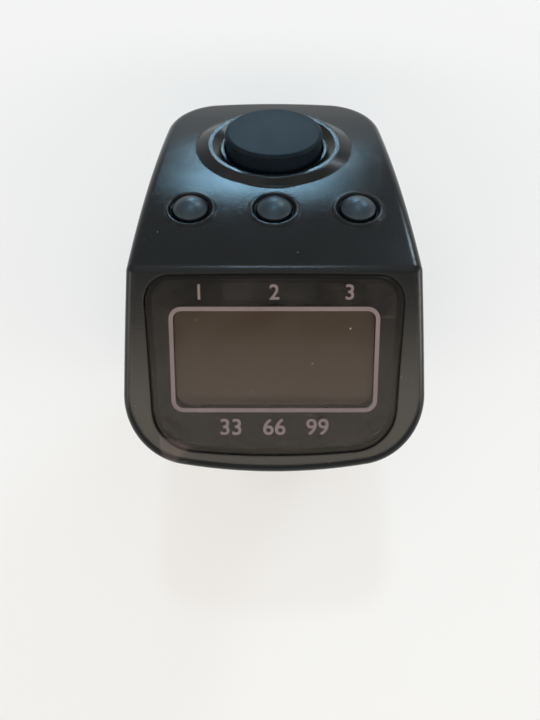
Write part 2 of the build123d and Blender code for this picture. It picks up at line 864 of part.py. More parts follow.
def negative_contact():
    """Leaf under the carrier that presses on the cell's upper face."""
    root_z = cell_wall_height - contact_thickness / 2
    tip_z = cell_top + contact_thickness / 2 + seat_gap
    outer_x = cell_radius - fit_gap
    bend_x = outer_x - leaf_root
    path = Polyline((outer_x, root_z), (bend_x, root_z), (outer_x - leaf_length, tip_z), (0, tip_z))
    leaf = extrude(Plane.XZ * trace(path, contact_thickness), amount=contact_width / 2, both=True)
    return Pos(0, back_centre_y, 0) * leaf


def positive_contact():
    """Upright strip beside the cell, with a tail through the carrier."""
    place = back_centre_y - cell_radius - contact_thickness - fit_gap
    height = cell_wall_height + carrier_plate + tail_height - cell_base
    return Pos(0, place, cell_base) * Box(contact_width, contact_thickness, height, align=standing)


def face_underside(y):
    """Height of the display board's underside at y."""
    place = face_frame.origin + face_frame.z_dir * display_board_bottom
    return place.Z + (y - place.Y) * math.tan(face_lean)


def battery_lead(start, side_step):
    """Wire from a contact up to the display board, stepping sideways on its way."""
    end_y = start.Y + side_step
    middle_z = (start.Z + face_underside(end_y)) / 2
    end_z = face_underside(end_y) - lead_radius * math.tan(face_lean) - seat_gap
    places = [
        start,
        Vector(start.X, start.Y, middle_z),
        Vector(start.X, end_y, middle_z),
        Vector(start.X, end_y, end_z),
    ]
    path = FilletPolyline(*places, radius=lead_bend)
    return sweep(Plane(origin=start, z_dir=(0, 0, 1)) * Circle(lead_radius), path=path)


def battery_leads():
    """Positive and negative wires."""
    positive_y = back_centre_y - cell_radius - 2 * contact_thickness - fit_gap - lead_radius
    positive_z = cell_wall_height + carrier_plate + 2 * seat_gap
    negative_y = back_centre_y - contact_width / 4
    negative_z = cell_top + contact_thickness + 2 * seat_gap
    return [
        battery_lead(Vector(contact_width / 4, positive_y, positive_z), lead_step),
        battery_lead(Vector(lead_x, negative_y, negative_z), -lead_step),
    ]


def case_screws():
    """Four screws from below into the upper case's bosses."""
    screws = []
    for x, y in case_screw_places:
        base = screw_recess - case_screw_head - seat_gap
        screw = upright(x, y, case_screw_head_radius, base, base + case_screw_head)
        tip = min(parting_height + case_screw_length, rear_boss_top) - 3 * seat_gap
        screw += upright(x, y, case_screw_radius, base, tip)
        for turn in (0, 90):
            slot = Box(2 * case_screw_radius, cross_slot, case_screw_head, rotation=(0, 0, turn))
            screw -= Pos(x, y, base) * slot
        screws.append(screw)
    return screws


def strap_side(side, level):
    """Strap half: eye round its pin, upright, bend and flat tongue at the given level."""
    pin_x = side * strap_pin_x
    tip_x = -side * (strap_pin_x - strap_bend - fit_gap)
    path = FilletPolyline((pin_x, -strap_pin_drop), (pin_x, level), (tip_x, level), radius=strap_bend)
    pin = Pos(pin_x, -strap_pin_drop)
    profile = trace(path, strap_thickness) + pin * Circle(strap_eye_radius)
    profile -= pin * Circle(strap_pin_radius + fit_gap)
    band = extrude(Plane.XZ * profile, amount=strap_width / 2, both=True)
    return Pos(0, back_centre_y, 0) * band


def hole_places():
    """Hole centres along the upper tongue."""
    start = -hole_pitch * (hole_count - 1) / 2
    return [start + number * hole_pitch for number in range(hole_count)]


def strap_peg_side():
    """Left strap half with two pegs on its lower tongue."""
    level = strap_thickness / 2 - strap_drop
    band = strap_side(-1, level)
    top = strap_thickness - strap_drop
    under_head = top + strap_thickness + 2 * strap_layer_gap
    middle = hole_count // 2
    for x in hole_places()[middle - 1 : middle + 1]:
        root = top - strap_thickness / 2
        band += upright(x, back_centre_y, peg_radius, root, under_head + peg_head / 2)
        band += upright(x, back_centre_y, peg_head_radius, under_head, under_head + peg_head)
    return band


def strap_hole_side():
    """Right strap half with a row of holes in its upper tongue."""
    level = strap_thickness * 3 / 2 + strap_layer_gap - strap_drop
    band = strap_side(1, level)
    for x in hole_places():
        hole = Cylinder(peg_radius + hole_gap, 2 * strap_thickness)
        band -= Pos(x, back_centre_y, level) * hole
    return band


def strap_pins():
    """Two steel pins through the ears and the strap's eyes."""
    length = strap_width + 2 * ear_gap + 2 * ear_thickness
    pin = Cylinder(strap_pin_radius, length, rotation=(90, 0, 0))
    return [Pos(side * strap_pin_x, back_centre_y, -strap_pin_drop) * pin for side in sides]


def save(node, shape):
    """Writes one node, lifted so that the strap's underside is at z = 0."""
    solids = shape if isinstance(shape, list) else [shape]
    lifted = [Pos(0, 0, strap_drop) * solid for solid in solids]
    export_step(lifted[0] if len(lifted) == 1 else Compound(children=lifted), f"parts/{node}.step")


os.makedirs("parts", exist_ok=True)
save("top_shell", top_shell())
save("back_shell", back_shell())
save("battery_door", battery_door())
save("count_button", count_button())
for name, x in zip(("reset", "lock", "light"), small_places):
    save(f"{name}_button", small_button(x))
    save(f"{name}_plunger", small_plunger(x))
save("count_plunger", count_plunger())
save("count_switch", count_switch())
save("small_switches", small_switches())
save("switch_domes", switch_domes())
save("key_board", key_board())
save("display_board", display_board())
save("board_screws", board_screws())
save("lens_panel", lens_panel())
save("lens_adhesive", lens_adhesive())
save("lens_film", lens_film())
save("lcd_polariser", lcd_polariser())
save("lcd_front_glass", lcd_front_glass())
save("lcd_rear_glass", lcd_rear_glass())
save("light_guide", light_guide())
save("backlight_led", backlight_led())
save("zebra_strip", zebra_strip())
save("controller_blob", controller_blob())
save("clock_crystal", clock_crystal())
save("chip_parts", chip_parts())
save("board_link", board_link())
save("coin_cell", coin_cell())
save("contact_carrier", contact_carrier())
save("negative_contact", negative_contact())
save("positive_contact", positive_contact())
save("battery_leads", battery_leads())
save("case_screws", case_screws())
save("strap_peg_side", strap_peg_side())
save("strap_hole_side", strap_hole_side())
save("strap_pins", strap_pins())
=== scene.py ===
import math

import bpy
import numpy as np
from mathutils import Matrix, Vector


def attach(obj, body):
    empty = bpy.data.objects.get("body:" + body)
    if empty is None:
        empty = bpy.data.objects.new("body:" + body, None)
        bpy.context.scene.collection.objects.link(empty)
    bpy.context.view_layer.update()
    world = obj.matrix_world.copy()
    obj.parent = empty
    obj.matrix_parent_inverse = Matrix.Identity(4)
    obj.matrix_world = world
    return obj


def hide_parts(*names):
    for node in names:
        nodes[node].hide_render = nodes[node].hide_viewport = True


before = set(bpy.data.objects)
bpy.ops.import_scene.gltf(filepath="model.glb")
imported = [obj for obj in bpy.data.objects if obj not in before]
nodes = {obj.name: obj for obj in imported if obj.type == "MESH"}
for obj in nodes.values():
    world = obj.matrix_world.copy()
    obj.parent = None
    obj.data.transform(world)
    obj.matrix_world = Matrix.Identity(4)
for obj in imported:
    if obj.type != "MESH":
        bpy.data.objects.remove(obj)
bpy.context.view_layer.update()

# Looks of a finger-worn digital counter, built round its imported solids.
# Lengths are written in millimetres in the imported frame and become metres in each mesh.
MM = 0.001

# Rear slope: its frame has u across, v up the slope and w out of it
slope_angle = math.radians(23.0)
slope_origin = np.array([0.0, -11.108, 32.0006])
lens_top = 0.2

# Print on the window
print_thickness = 0.014
print_sink = 0.006
frame_width = 19.8
frame_height = 10.3
frame_corner = 1.2
frame_line = 0.4
key_numbers = (("1", -7.0), ("2", 0.0), ("3", 7.0))
key_number_v = 6.45
key_number_size = 2.0
count_numbers = (("33", -4.2), ("66", 0.0), ("99", 4.2))
count_number_v = -6.75
count_number_size = 2.3
number_boldness = 0.05

# Pull tab of the film and the display's change of tone, by x and y
tab_edge_slant = 0.32
tab_edge_place = -21.72
tab_fold_slant = 0.933
tab_fold_place = 9.66
tab_soft = 0.08
display_top_y = -6.8
display_low_y = -15.4

# Finger strap
strap_middle_y = -2.5
strap_width = 13.0
strap_thickness = 1.5
strap_edge = 0.45
strap_pin_x = 11.0
strap_pin_z = 14.9
strap_bend = 5.0
strap_tip_x = 5.9
strap_tip_corner = 4.6
strap_corner_share = 0.98
strap_eye_radius = 1.85
strap_bore_radius = 0.85
peg_tongue_z = 0.75
hole_tongue_z = 2.35
peg_radius = 1.1
peg_head_radius = 1.5
peg_head_base = 3.2
peg_head_top = 3.9
peg_places = (-1.35, 1.35)
hole_radius = 1.2
hole_flare = 0.12
hole_flare_depth = 0.3
hole_flare_margin = 0.05
hole_places = (-4.05, -1.35, 1.35, 4.05)
eye_edge_share = 0.3

# Peg head: how far in from its radius, and the share of its rise
peg_head_profile = ((0.1, 0.0), (0.0, 0.15), (0.0, 0.4), (0.15, 0.72), (0.5, 0.94), (0.9, 1.0))

# Camera and the point that the lamps face, in metres
camera_place = (-0.00041, -0.021315, 0.096042)
camera_tilt = 9.055
camera_pixels = 681.6
image_rows = 720
middle = (0.0, 0.0, 0.03)


# Meshes
def grid_faces(rows, columns, wrap_columns):
    """Quads of a grid of rows by columns, the last column joined to the first where it wraps."""
    across = columns if wrap_columns else columns - 1
    row, column = np.meshgrid(np.arange(rows - 1), np.arange(across), indexing="ij")
    following = (column + 1) % columns
    corners = (
        row * columns + column,
        row * columns + following,
        (row + 1) * columns + following,
        (row + 1) * columns + column,
    )
    return np.stack(corners, axis=-1).reshape(-1, 4)


def make_object(name, points, faces, crease_angle=35.0):
    """Object with its place in its mesh, from points in millimetres and lists of corners."""
    mesh = bpy.data.meshes.new(name)
    mesh.from_pydata((np.asarray(points) * MM).tolist(), [], faces)
    mesh.validate()
    mesh.shade_smooth()
    mesh.set_sharp_from_angle(angle=math.radians(crease_angle))
    made = bpy.data.objects.new(name, mesh)
    bpy.context.scene.collection.objects.link(made)
    return made


def closed_tube(rings):
    """Closed surface through rings of equal counts, each end shut by one face."""
    count, around = rings.shape[:2]
    points = rings.reshape(-1, 3)
    faces = grid_faces(count, around, True).tolist()
    faces.append(list(range(around))[::-1])
    faces.append(list(range((count - 1) * around, count * around)))
    return points, faces


def rounded_section(half_width, half_height, corner, around=48):
    """Rounded rectangle as points by angle: a corner circle shifted by the straight sides."""
    angle = (np.arange(around) + 0.5) * 2 * np.pi / around
    side_x = (half_width - corner)[:, None] * np.sign(np.cos(angle))
    side_z = (half_height - corner)[:, None] * np.sign(np.sin(angle))
    across = side_x + corner[:, None] * np.cos(angle)
    up = side_z + corner[:, None] * np.sin(angle)
    return across, up


def strap_band(side, tongue_z):
    """Rounded section carried along the strap's line: down from the pin, round the bend, along
    the tongue. Near the tip the width follows a corner circle and the thickness an edge circle."""
    drop = strap_pin_z - tongue_z - strap_bend
    turn = strap_bend * np.pi / 2
    run = strap_pin_x - strap_bend + strap_tip_x
    total = drop + turn + run
    tip = strap_tip_corner * (1 - np.cos(np.linspace(0, np.pi / 2, 16)))
    along = np.concatenate([
        np.linspace(0, drop, 8, endpoint=False),
        drop + np.linspace(0, turn, 20, endpoint=False),
        drop + turn + np.linspace(0, run - strap_tip_corner, 17, endpoint=False),
        total - tip[::-1],
    ])
    bend = np.clip((along - drop) / strap_bend, 0, np.pi / 2)
    straight = np.clip(along - drop - turn, 0, None)
    centre_x = strap_pin_x - strap_bend * (1 - np.cos(bend)) - straight
    centre_z = strap_pin_z - np.clip(along, 0, drop) - strap_bend * np.sin(bend)
    from_tip = total - along
    short = np.clip(strap_tip_corner - from_tip, 0, None)
    half_width = strap_width / 2 - strap_tip_corner + np.sqrt(strap_tip_corner**2 - short**2)
    thin = np.clip(strap_edge - from_tip, 0, None)
    half_height = strap_thickness / 2 - strap_edge + np.sqrt(strap_edge**2 - thin**2)
    corner = np.minimum(strap_edge, half_height * strap_corner_share)
    across, up = rounded_section(half_width, half_height, corner)
    x = centre_x[:, None] + np.cos(bend)[:, None] * up
    z = centre_z[:, None] - np.sin(bend)[:, None] * up
    rings = np.stack([side * x, strap_middle_y + side * across, z], axis=-1)
    return closed_tube(rings)


def turned_piece(profile, centre, axis, around=40):
    """Profile of radius and height turned round an axis, z or y, through the centre."""
    radius, height = np.asarray(profile, float).T
    angle = np.arange(around) * 2 * np.pi / around
    first = radius[:, None] * np.cos(angle)
    second = radius[:, None] * np.sin(angle)
    third = np.broadcast_to(height[:, None], first.shape)
    order = (first, second, third) if axis == "z" else (second, third, first)
    return closed_tube(np.stack(order, axis=-1) + np.asarray(centre, float))


def joined(base, others, operation, crease_angle=40.0):
    """Base with the other shapes added or cut, as one closed mesh; the tools are removed."""
    for number, tool in enumerate(others):
        step = base.modifiers.new(f"step_{number}", "BOOLEAN")
        step.operation = operation
        step.solver = "EXACT"
        step.object = tool
    depsgraph = bpy.context.evaluated_depsgraph_get()
    mesh = bpy.data.meshes.new_from_object(base.evaluated_get(depsgraph))
    base.modifiers.clear()
    base.data = mesh
    mesh.shade_smooth()
    mesh.set_sharp_from_angle(angle=math.radians(crease_angle))
    for tool in others:
        bpy.data.objects.remove(tool)
    return base


def strap_half(name, side, tongue_z, pegs, holes):
    """Strap half: band and eye in one, with pegs added or holes cut, and the pin's bore."""
    band = make_object(name, *strap_band(side, tongue_z))
    pin = (side * strap_pin_x, strap_middle_y, strap_pin_z)
    half = strap_width / 2
    edge = strap_edge
    eye = [
        (strap_eye_radius - edge, -half),
        (strap_eye_radius - eye_edge_share * edge, -half + eye_edge_share * edge),
        (strap_eye_radius, -half + edge),
        (strap_eye_radius, half - edge),
        (strap_eye_radius - eye_edge_share * edge, half - eye_edge_share * edge),
        (strap_eye_radius - edge, half),
    ]
    added = [make_object("eye", *turned_piece(eye, pin, "y"))]
    rise = peg_head_top - peg_head_base
    for x in pegs:
        peg = [(peg_radius, tongue_z), (peg_radius, peg_head_base)]
        peg += [(peg_head_radius - inset, peg_head_base + share * rise) for inset, share in peg_head_profile]
        added.append(make_object("peg", *turned_piece(peg, (x, strap_middle_y, 0), "z")))
    joined(band, added, "UNION")
    bore = [(strap_bore_radius, -strap_width), (strap_bore_radius, strap_width)]
    cut = [make_object("bore", *turned_piece(bore, pin, "y"))]
    half_thick = strap_thickness / 2
    wide = hole_radius + hole_flare
    for x in holes:
        hole = [
            (wide, tongue_z - strap_thickness),
            (wide, tongue_z - half_thick - hole_flare_margin),
            (hole_radius, tongue_z - half_thick + hole_flare_depth),
            (hole_radius, tongue_z + half_thick - hole_flare_depth),
            (wide, tongue_z + half_thick + hole_flare_margin),
            (wide, tongue_z + strap_thickness),
        ]
        cut.append(make_object("hole", *turned_piece(hole, (x, strap_middle_y, 0), "z")))
    return joined(band, cut, "DIFFERENCE")


def slope_points(u, v, w):
    """Points of the rear slope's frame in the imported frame, in millimetres."""
    y = slope_origin[1] + v * math.cos(slope_angle) - w * math.sin(slope_angle)
    z = slope_origin[2] + v * math.sin(slope_angle) + w * math.cos(slope_angle)
    return np.stack(np.broadcast_arrays(slope_origin[0] + u, y, z), axis=-1)


def printed_frame():
    """Ring round the display: a rounded rectangle carrying a small upright section."""
    half = np.array([frame_width / 2, frame_width / 2 - frame_line])
    tall = np.array([frame_height / 2, frame_height / 2 - frame_line])
    corner = np.array([frame_corner, frame_corner - frame_line])
    across, up = rounded_section(half, tall, corner, around=96)
    base = lens_top - print_sink
    top = lens_top + print_thickness - print_sink
    rings = [(0, base), (0, top), (1, top), (1, base), (0, base)]
    loops = [slope_points(across[i], up[i], np.full(across.shape[1], w)) for i, w in rings]
    points = np.concatenate(loops[:4])
    faces = grid_faces(5, across.shape[1], True) % len(points)
    return points, faces.tolist()


def printed_number(name, words, u, v, size):
    """Number as a thin plate on the window, from a text curve made mesh before it is placed."""
    curve = bpy.data.curves.new(name, "FONT")
    curve.body = words
    curve.align_x = "CENTER"
    curve.align_y = "CENTER"
    curve.size = size
    curve.offset = number_boldness * size / 4
    curve.extrude = print_thickness / 2
    curve.resolution_u = 6
    text = bpy.data.objects.new(name + "_curve", curve)
    bpy.context.scene.collection.objects.link(text)
    depsgraph = bpy.context.evaluated_depsgraph_get()
    mesh = bpy.data.meshes.new_from_object(text.evaluated_get(depsgraph))
    bpy.data.objects.remove(text)
    flat = np.zeros(len(mesh.vertices) * 3)
    mesh.vertices.foreach_get("co", flat)
    flat = flat.reshape(-1, 3)
    level = lens_top + print_thickness / 2 - print_sink
    placed = slope_points(flat[:, 0] + u, flat[:, 1] + v, flat[:, 2] + level)
    mesh.vertices.foreach_set("co", (placed * MM).ravel())
    mesh.update()
    made = bpy.data.objects.new(name, mesh)
    bpy.context.scene.collection.objects.link(made)
    return made


# Shader tools
def add_node(tree, kind, sockets=None, **settings):
    """Node of a kind with its settings and socket values."""
    node = tree.nodes.new(kind)
    for key, value in settings.items():
        setattr(node, key, value)
    for key, value in (sockets or {}).items():
        node.inputs[key].default_value = value
    return node


def sum_of(tree, operation, first, second, clamp=False):
    """Math node on two values, each a socket or a number."""
    node = add_node(tree, "ShaderNodeMath", operation=operation, use_clamp=clamp)
    for place, value in enumerate((first, second)):
        if isinstance(value, (int, float)):
            node.inputs[place].default_value = value
        else:
            tree.links.new(value, node.inputs[place])
    return node.outputs[0]


def ranged(tree, value, low, high, to_low, to_high):
    """Value carried from one range to another, held at its ends."""
    node = add_node(tree, "ShaderNodeMapRange")
    ends = (low, high, to_low, to_high)
    for label, end in zip(("From Min", "From Max", "To Min", "To Max"), ends):
        node.inputs[label].default_value = end
    tree.links.new(value, node.inputs["Value"])
    return node.outputs["Result"]


def mixed(tree, share, first, second):
    """Colour between two colours by a share; each is a socket or four numbers."""
    node = add_node(tree, "ShaderNodeMix", data_type="RGBA")
    tree.links.new(share, node.inputs[0])
    for place, value in ((6, first), (7, second)):
        if isinstance(value, tuple):
            node.inputs[place].default_value = value
        else:
            tree.links.new(value, node.inputs[place])
    return node.outputs[2]


def new_group(name, inputs, outputs):
    """Empty node group with named sockets; returns it with its two end nodes."""
    group = bpy.data.node_groups.new(name, "ShaderNodeTree")
    for label, kind in inputs:
        group.interface.new_socket(name=label, in_out="INPUT", socket_type="NodeSocket" + kind)
    for label in outputs:
        group.interface.new_socket(name=label, in_out="OUTPUT", socket_type="NodeSocketFloat")
    return group, group.nodes.new("NodeGroupInput"), group.nodes.new("NodeGroupOutput")


def in_millimetres(tree, vector):
    """Coordinates scaled from metres to millimetres."""
    node = add_node(tree, "ShaderNodeVectorMath", operation="SCALE", sockets={"Scale": 1 / MM})
    tree.links.new(vector, node.inputs[0])
    return node.outputs[0]


def noise(tree, vector, scale, detail=2.0, rough=0.5):
    """Noise value on a vector; scale is a number or a socket."""
    node = add_node(tree, "ShaderNodeTexNoise", sockets={"Detail": detail, "Roughness": rough})
    tree.links.new(vector, node.inputs["Vector"])
    if isinstance(scale, (int, float)):
        node.inputs["Scale"].default_value = scale
    else:
        tree.links.new(scale, node.inputs["Scale"])
    return node.outputs[0]


def make_grain_group():
    """Moulded grain: pebbles from cell distances over fine noise, and a slow change of tone."""
    group, entry, leave = new_group(
        "moulded_grain", [("Vector", "Vector"), ("Density", "Float")], ["Height", "Tone"]
    )
    place = in_millimetres(group, entry.outputs["Vector"])
    cells = add_node(group, "ShaderNodeTexVoronoi", feature="SMOOTH_F1", sockets={"Smoothness": 0.4})
    group.links.new(place, cells.inputs["Vector"])
    group.links.new(entry.outputs["Density"], cells.inputs["Scale"])
    fine = noise(group, place, sum_of(group, "MULTIPLY", entry.outputs["Density"], 1.7), 3.0, 0.6)
    height = sum_of(group, "ADD", sum_of(group, "MULTIPLY", cells.outputs["Distance"], 0.6), fine)
    group.links.new(height, leave.inputs["Height"])
    tone = noise(group, place, 0.16, 4.0, 0.55)
    group.links.new(ranged(group, tone, 0.3, 0.7, 0.0, 1.0), leave.inputs["Tone"])
    return group


def make_dust_group():
    """Dust and handling: scattered specks, fine straight scratches and soft smudges."""
    group, entry, leave = new_group(
        "dust_and_handling", [("Vector", "Vector"), ("Density", "Float")], ["Specks", "Scratches", "Smudge"]
    )
    place = in_millimetres(group, entry.outputs["Vector"])
    cells = add_node(group, "ShaderNodeTexVoronoi")
    group.links.new(place, cells.inputs["Vector"])
    group.links.new(entry.outputs["Density"], cells.inputs["Scale"])
    part = add_node(group, "ShaderNodeSeparateColor")
    group.links.new(cells.outputs["Color"], part.inputs[0])
    reach = ranged(group, part.outputs[0], 0.6, 1.0, 0.0, 0.06)
    near = sum_of(group, "LESS_THAN", cells.outputs["Distance"], reach)
    group.links.new(near, leave.inputs["Specks"])
    lines = []
    for turn, spread in ((0.5, 7.0), (-0.9, 9.0)):
        node = add_node(group, "ShaderNodeMapping")
        node.inputs["Rotation"].default_value = (0.0, 0.0, turn)
        node.inputs["Scale"].default_value = (0.22, spread, 0.22)
        group.links.new(place, node.inputs["Vector"])
        lines.append(ranged(group, noise(group, node.outputs[0], 1.0, 1.0), 0.74, 0.78, 0.0, 1.0))
    group.links.new(sum_of(group, "MAXIMUM", *lines), leave.inputs["Scratches"])
    smudge = noise(group, place, 0.3, 5.0, 0.6)
    group.links.new(ranged(group, smudge, 0.4, 0.72, 0.0, 1.0), leave.inputs["Smudge"])
    return group


def make_edge_group():
    """Rubbed edges: how far the normal of a rounded edge turns from the face's own normal."""
    group, entry, leave = new_group("rubbed_edges", [("Radius", "Float")], ["Edge"])
    soft = add_node(group, "ShaderNodeBevel", samples=4)
    group.links.new(entry.outputs["Radius"], soft.inputs["Radius"])
    own = add_node(group, "ShaderNodeNewGeometry")
    turn = add_node(group, "ShaderNodeVectorMath", operation="DOT_PRODUCT")
    group.links.new(soft.outputs[0], turn.inputs[0])
    group.links.new(own.outputs["Normal"], turn.inputs[1])
    group.links.new(ranged(group, turn.outputs["Value"], 0.99, 0.8, 0.0, 1.0), leave.inputs["Edge"])
    return group


grain_group = make_grain_group()
dust_group = make_dust_group()
edge_group = make_edge_group()


def use_group(tree, group, **values):
    """A group placed in a material with its own values; Vector takes Object coordinates."""
    node = add_node(tree, "ShaderNodeGroup", node_tree=group)
    for label, value in values.items():
        node.inputs[label].default_value = value
    if "Vector" in node.inputs:
        place = add_node(tree, "ShaderNodeTexCoord")
        tree.links.new(place.outputs["Object"], node.inputs["Vector"])
    return node.outputs


def new_finish(name, **sockets):
    """Material with one Principled shader; returns the material, its tree and the shader."""
    material = bpy.data.materials.new(name)
    material.use_nodes = True
    tree = material.node_tree
    tree.nodes.clear()
    shader = add_node(tree, "ShaderNodeBsdfPrincipled")
    for label, value in sockets.items():
        shader.inputs[label.replace("_", " ")].default_value = value
    output = add_node(tree, "ShaderNodeOutputMaterial")
    tree.links.new(shader.outputs[0], output.inputs[0])
    return material, tree, shader


def raise_grain(tree, shader, height, depth, soft=0.0):
    """Bump from a height, its depth in millimetres, over edges softened by a radius."""
    bump = add_node(tree, "ShaderNodeBump", sockets={"Strength": 1.0, "Distance": depth * MM})
    tree.links.new(height, bump.inputs["Height"])
    if soft:
        round_edge = add_node(tree, "ShaderNodeBevel", samples=4, sockets={"Radius": soft * MM})
        tree.links.new(round_edge.outputs[0], bump.inputs["Normal"])
    tree.links.new(bump.outputs[0], shader.inputs["Normal"])


def moulded(name, dark, pale, rough, density, depth, dust=0.0, rub=0.12, soft=0.0, **sockets):
    """Moulded plastic or rubber: grain bump, slow tone, rubbed edges and dust."""
    material, tree, shader = new_finish(name, **sockets)
    grain = use_group(tree, grain_group, Density=density)
    marks = use_group(tree, dust_group, Density=0.9)
    edges = use_group(tree, edge_group, Radius=0.25 * MM)
    colour = mixed(tree, grain["Tone"], (*dark, 1.0), (*pale, 1.0))
    worn = sum_of(tree, "MULTIPLY", edges["Edge"], rub)
    colour = mixed(tree, worn, colour, tuple(min(4.0 * c + 0.03, 1.0) for c in pale) + (1.0,))
    dusty = sum_of(tree, "MULTIPLY", marks["Specks"], dust)
    colour = mixed(tree, dusty, colour, (0.45, 0.46, 0.47, 1.0))
    tree.links.new(colour, shader.inputs["Base Color"])
    shine = ranged(tree, grain["Tone"], 0.0, 1.0, 0.85 * rough, 1.15 * rough)
    shine = sum_of(tree, "SUBTRACT", shine, sum_of(tree, "MULTIPLY", edges["Edge"], 0.25 * rough))
    shine = sum_of(tree, "ADD", shine, sum_of(tree, "MULTIPLY", marks["Smudge"], 0.2 * rough), True)
    tree.links.new(shine, shader.inputs["Roughness"])
    raise_grain(tree, shader, grain["Height"], depth, soft)
    return material


def metal(name, dark, pale, rough, lines):
    """Plated metal: drawn lines across x and a slow tone."""
    material, tree, shader = new_finish(name, Metallic=1.0)
    place = add_node(tree, "ShaderNodeTexCoord")
    stretch = add_node(tree, "ShaderNodeMapping")
    stretch.inputs["Scale"].default_value = (lines, lines / 14, lines / 14)
    tree.links.new(in_millimetres(tree, place.outputs["Object"]), stretch.inputs["Vector"])
    drawn = noise(tree, stretch.outputs[0], 1.0, 3.0, 0.6)
    grain = use_group(tree, grain_group, Density=1.5)
    tree.links.new(mixed(tree, grain["Tone"], (*dark, 1.0), (*pale, 1.0)), shader.inputs["Base Color"])
    tree.links.new(ranged(tree, drawn, 0.3, 0.7, rough - 0.08, rough + 0.1), shader.inputs["Roughness"])
    raise_grain(tree, shader, drawn, 0.003)
    return material


def case_satin():
    """Black case: satin moulded grain, a little dust, and edges that are rubbed and softened."""
    return moulded(
        "case_satin_black", (0.0050, 0.0062, 0.0068), (0.0068, 0.0082, 0.0090), 0.12, 6.0, 0.007,
        dust=0.3, rub=0.03, soft=0.25, Specular_IOR_Level=0.18,
    )


def smoked_window():
    """Smoked acrylic: thin dark tint with a polished face, softened edges, faint smudges and scratches."""
    material, tree, shader = new_finish("window_smoked", Specular_IOR_Level=0.14, Alpha=0.5)
    marks = use_group(tree, dust_group, Density=0.7)
    grain = use_group(tree, grain_group, Density=0.5)
    colour = mixed(tree, grain["Tone"], (0.0075, 0.0068, 0.0058, 1.0), (0.0105, 0.0095, 0.008, 1.0))
    tree.links.new(colour, shader.inputs["Base Color"])
    shine = ranged(tree, marks["Smudge"], 0.0, 1.0, 0.15, 0.24)
    shine = sum_of(tree, "ADD", shine, sum_of(tree, "MULTIPLY", marks["Scratches"], 0.2), True)
    tree.links.new(shine, shader.inputs["Roughness"])
    raise_grain(tree, shader, grain["Height"], 0.0002, 0.14)
    return material


def hazy_film():
    """Protective film: nearly clear, hazier in smudges, at specks and on the pull tab. The tab shows
    past the window's lower edge and left of a slanting fold, both straight lines in x and y."""
    material, tree, shader = new_finish("film_hazy", Specular_IOR_Level=0.5)
    marks = use_group(tree, dust_group, Density=0.55)
    place = add_node(tree, "ShaderNodeTexCoord")
    part = add_node(tree, "ShaderNodeSeparateXYZ")
    tree.links.new(in_millimetres(tree, place.outputs["Object"]), part.inputs[0])
    slant = sum_of(tree, "MULTIPLY", part.outputs["X"], tab_edge_slant)
    edge_line = sum_of(tree, "ADD", part.outputs["Y"], slant)
    slant = sum_of(tree, "MULTIPLY", part.outputs["Y"], tab_fold_slant)
    fold_line = sum_of(tree, "SUBTRACT", part.outputs["X"], slant)
    past_edge = ranged(tree, edge_line, tab_edge_place, tab_edge_place - tab_soft, 0.0, 1.0)
    past_fold = ranged(tree, fold_line, tab_fold_place, tab_fold_place - tab_soft, 0.0, 1.0)
    tab = sum_of(tree, "MULTIPLY", past_edge, past_fold)
    haze = ranged(tree, marks["Smudge"], 0.0, 1.0, 0.002, 0.011)
    haze = sum_of(tree, "ADD", haze, sum_of(tree, "MULTIPLY", tab, 0.03))
    haze = sum_of(tree, "ADD", haze, sum_of(tree, "MULTIPLY", marks["Specks"], 0.5))
    haze = sum_of(tree, "ADD", haze, sum_of(tree, "MULTIPLY", marks["Scratches"], 0.04), True)
    tree.links.new(haze, shader.inputs["Alpha"])
    colour = mixed(tree, tab, (0.42, 0.37, 0.35, 1.0), (0.52, 0.38, 0.39, 1.0))
    colour = mixed(tree, marks["Specks"], colour, (0.75, 0.73, 0.7, 1.0))
    tree.links.new(colour, shader.inputs["Base Color"])
    shine = ranged(tree, marks["Smudge"], 0.0, 1.0, 0.16, 0.3)
    tree.links.new(shine, shader.inputs["Roughness"])
    return material


def display_face():
    """Unlit display: grey-brown, a little paler towards its lower edge, with a faint mottle."""
    material, tree, shader = new_finish("display_grey_brown", Specular_IOR_Level=0.15)
    grain = use_group(tree, grain_group, Density=6.0)
    place = add_node(tree, "ShaderNodeTexCoord")
    part = add_node(tree, "ShaderNodeSeparateXYZ")
    tree.links.new(in_millimetres(tree, place.outputs["Object"]), part.inputs[0])
    low = ranged(tree, part.outputs["Y"], display_top_y, display_low_y, 0.0, 1.0)
    paler = sum_of(tree, "MULTIPLY", low, 0.8)
    mottle = sum_of(tree, "MULTIPLY", grain["Tone"], 0.2)
    share = sum_of(tree, "ADD", paler, mottle)
    colour = mixed(tree, share, (0.60, 0.37, 0.215, 1.0), (0.75, 0.55, 0.44, 1.0))
    tree.links.new(colour, shader.inputs["Base Color"])
    tree.links.new(ranged(tree, grain["Height"], 0.3, 1.0, 0.3, 0.42), shader.inputs["Roughness"])
    return material


